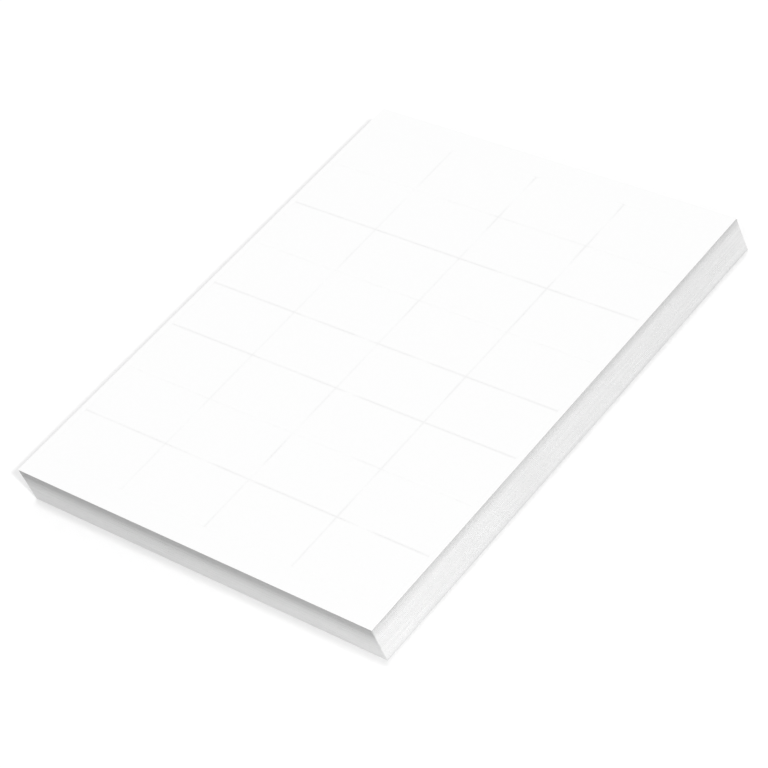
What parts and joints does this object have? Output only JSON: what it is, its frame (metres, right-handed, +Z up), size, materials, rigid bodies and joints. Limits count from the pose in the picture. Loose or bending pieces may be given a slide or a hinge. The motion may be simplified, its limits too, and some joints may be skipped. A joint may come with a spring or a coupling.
{
  "type": "pack of label sheets",
  "caption": "Flat pack of plain self-adhesive label sheets, squared up in a straight stack, with a grid of kiss-cut labels on the top sheet.",
  "frame": {"origin": "on the surface the pack lies on, under the middle of the pack", "axes": "+X across the label columns, +Y along the sheets towards the head of the label rows, +Z up through the stack"},
  "size_m": [0.218, 0.2808, 0.02],
  "materials": {
    "face_paper": "matt, uncoated",
    "liner_paper": "smooth, silicone-coated",
    "sheet_edges": "matt cut edges"
  },
  "bodies": {
    "root": {"sheet_stack": "sheet_edges", "backing_sheet": "liner_paper", "label_margin": "face_paper", "label_r1_c1": "face_paper", "label_r1_c2": "face_paper", "label_r1_c3": "face_paper", "label_r1_c4": "face_paper", "label_r2_c1": "face_paper", "label_r2_c2": "face_paper", "label_r2_c3": "face_paper", "label_r2_c4": "face_paper", "label_r3_c1": "face_paper", "label_r3_c2": "face_paper", "label_r3_c3": "face_paper", "label_r3_c4": "face_paper", "label_r4_c1": "face_paper", "label_r4_c2": "face_paper", "label_r4_c3": "face_paper", "label_r4_c4": "face_paper", "label_r5_c1": "face_paper", "label_r5_c2": "face_paper", "label_r5_c3": "face_paper", "label_r5_c4": "face_paper", "label_r6_c1": "face_paper", "label_r6_c2": "face_paper", "label_r6_c3": "face_paper", "label_r6_c4": "face_paper", "label_r7_c1": "face_paper", "label_r7_c2": "face_paper", "label_r7_c3": "face_paper", "label_r7_c4": "face_paper", "label_r8_c1": "face_paper", "label_r8_c2": "face_paper", "label_r8_c3": "face_paper", "label_r8_c4": "face_paper"}
  },
  "joints": []
}
